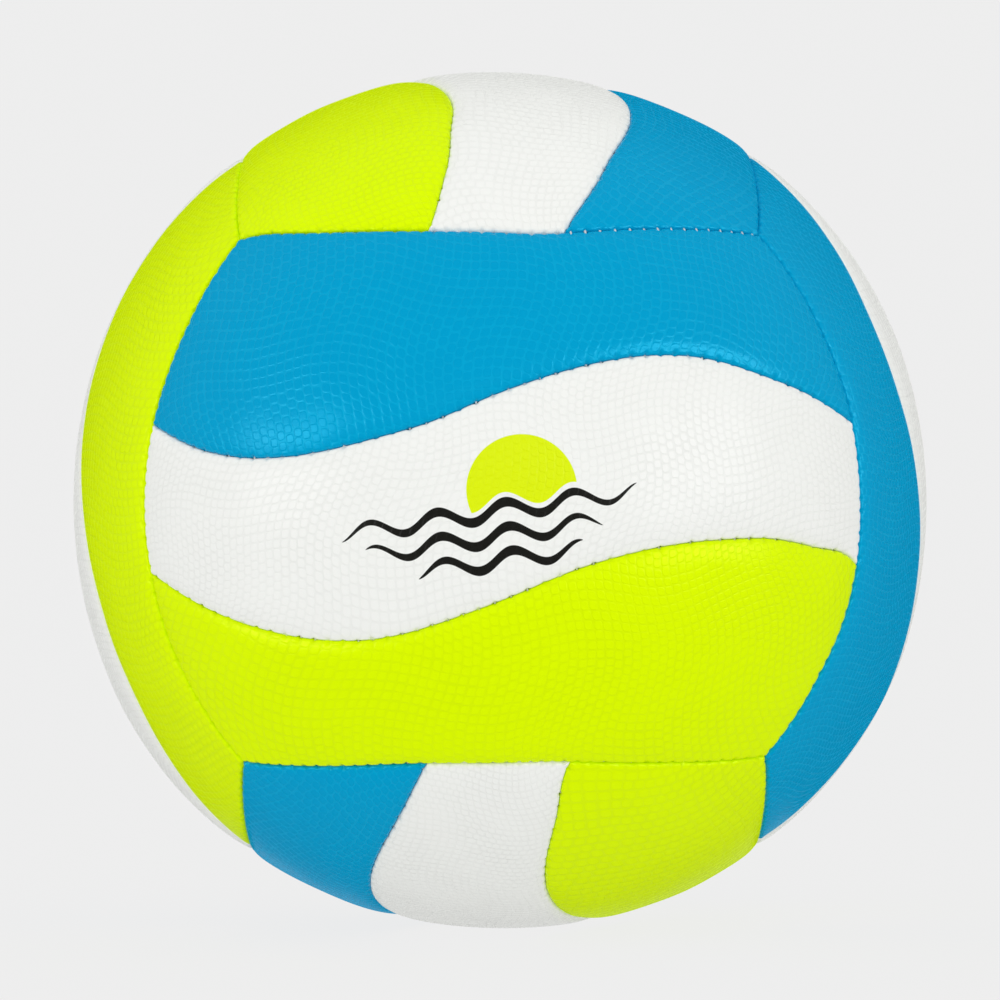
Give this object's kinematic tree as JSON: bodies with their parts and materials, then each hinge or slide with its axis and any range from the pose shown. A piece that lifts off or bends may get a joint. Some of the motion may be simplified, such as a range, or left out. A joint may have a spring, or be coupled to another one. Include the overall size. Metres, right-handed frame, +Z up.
{
  "type": "volleyball",
  "caption": "Inflated beach volleyball: padded crosswise cover panels with waving seams, stitched over foam, lining and a rubber bladder with a push-in needle valve.",
  "frame": {"origin": "centre of the ball", "axes": "+Z up through the top face's middle panel, -Y out through the front face, +Y out along the valve's needle hole in the back face, +X to the right seen from the front"},
  "size_m": [0.207, 0.207, 0.207],
  "materials": {
    "skin_blue": "embossed soft synthetic leather, semi-gloss",
    "skin_white": "embossed soft synthetic leather, semi-gloss",
    "skin_lime": "embossed soft synthetic leather, semi-gloss",
    "foam": "soft closed-cell foam, matt",
    "lining": "plain woven polyester",
    "bladder_rubber": "dipped rubber, satin",
    "boss_rubber": "moulded rubber, matt",
    "valve_rubber": "moulded rubber, matt",
    "thread": "twisted polyester sewing thread"
  },
  "bodies": {
    "root": {"front_upper_cover": "skin_blue", "front_middle_cover": "skin_white", "front_lower_cover": "skin_lime", "right_front_cover": "skin_blue", "right_middle_cover": "skin_white", "right_rear_cover": "skin_lime", "top_right_cover": "skin_blue", "top_middle_cover": "skin_white", "top_left_cover": "skin_lime", "left_rear_cover": "skin_blue", "left_middle_cover": "skin_white", "left_front_cover": "skin_lime", "bottom_left_cover": "skin_blue", "bottom_middle_cover": "skin_white", "bottom_right_cover": "skin_lime", "back_lower_cover": "skin_blue", "back_middle_cover": "skin_white", "back_upper_cover": "skin_lime", "front_upper_foam": "foam", "front_middle_foam": "foam", "front_lower_foam": "foam", "right_front_foam": "foam", "right_middle_foam": "foam", "right_rear_foam": "foam", "top_right_foam": "foam", "top_middle_foam": "foam", "top_left_foam": "foam", "left_rear_foam": "foam", "left_middle_foam": "foam", "left_front_foam": "foam", "bottom_left_foam": "foam", "bottom_middle_foam": "foam", "bottom_right_foam": "foam", "back_lower_foam": "foam", "back_middle_foam": "foam", "back_upper_foam": "foam", "front_upper_lining": "lining", "front_middle_lining": "lining", "front_lower_lining": "lining", "right_front_lining": "lining", "right_middle_lining": "lining", "right_rear_lining": "lining", "top_right_lining": "lining", "top_middle_lining": "lining", "top_left_lining": "lining", "left_rear_lining": "lining", "left_middle_lining": "lining", "left_front_lining": "lining", "bottom_left_lining": "lining", "bottom_middle_lining": "lining", "bottom_right_lining": "lining", "back_lower_lining": "lining", "back_middle_lining": "lining", "back_upper_lining": "lining", "bladder": "bladder_rubber", "valve_boss": "boss_rubber", "valve_insert": "valve_rubber", "strip_seam_thread": "thread", "edge_seam_thread": "thread"}
  },
  "joints": []
}
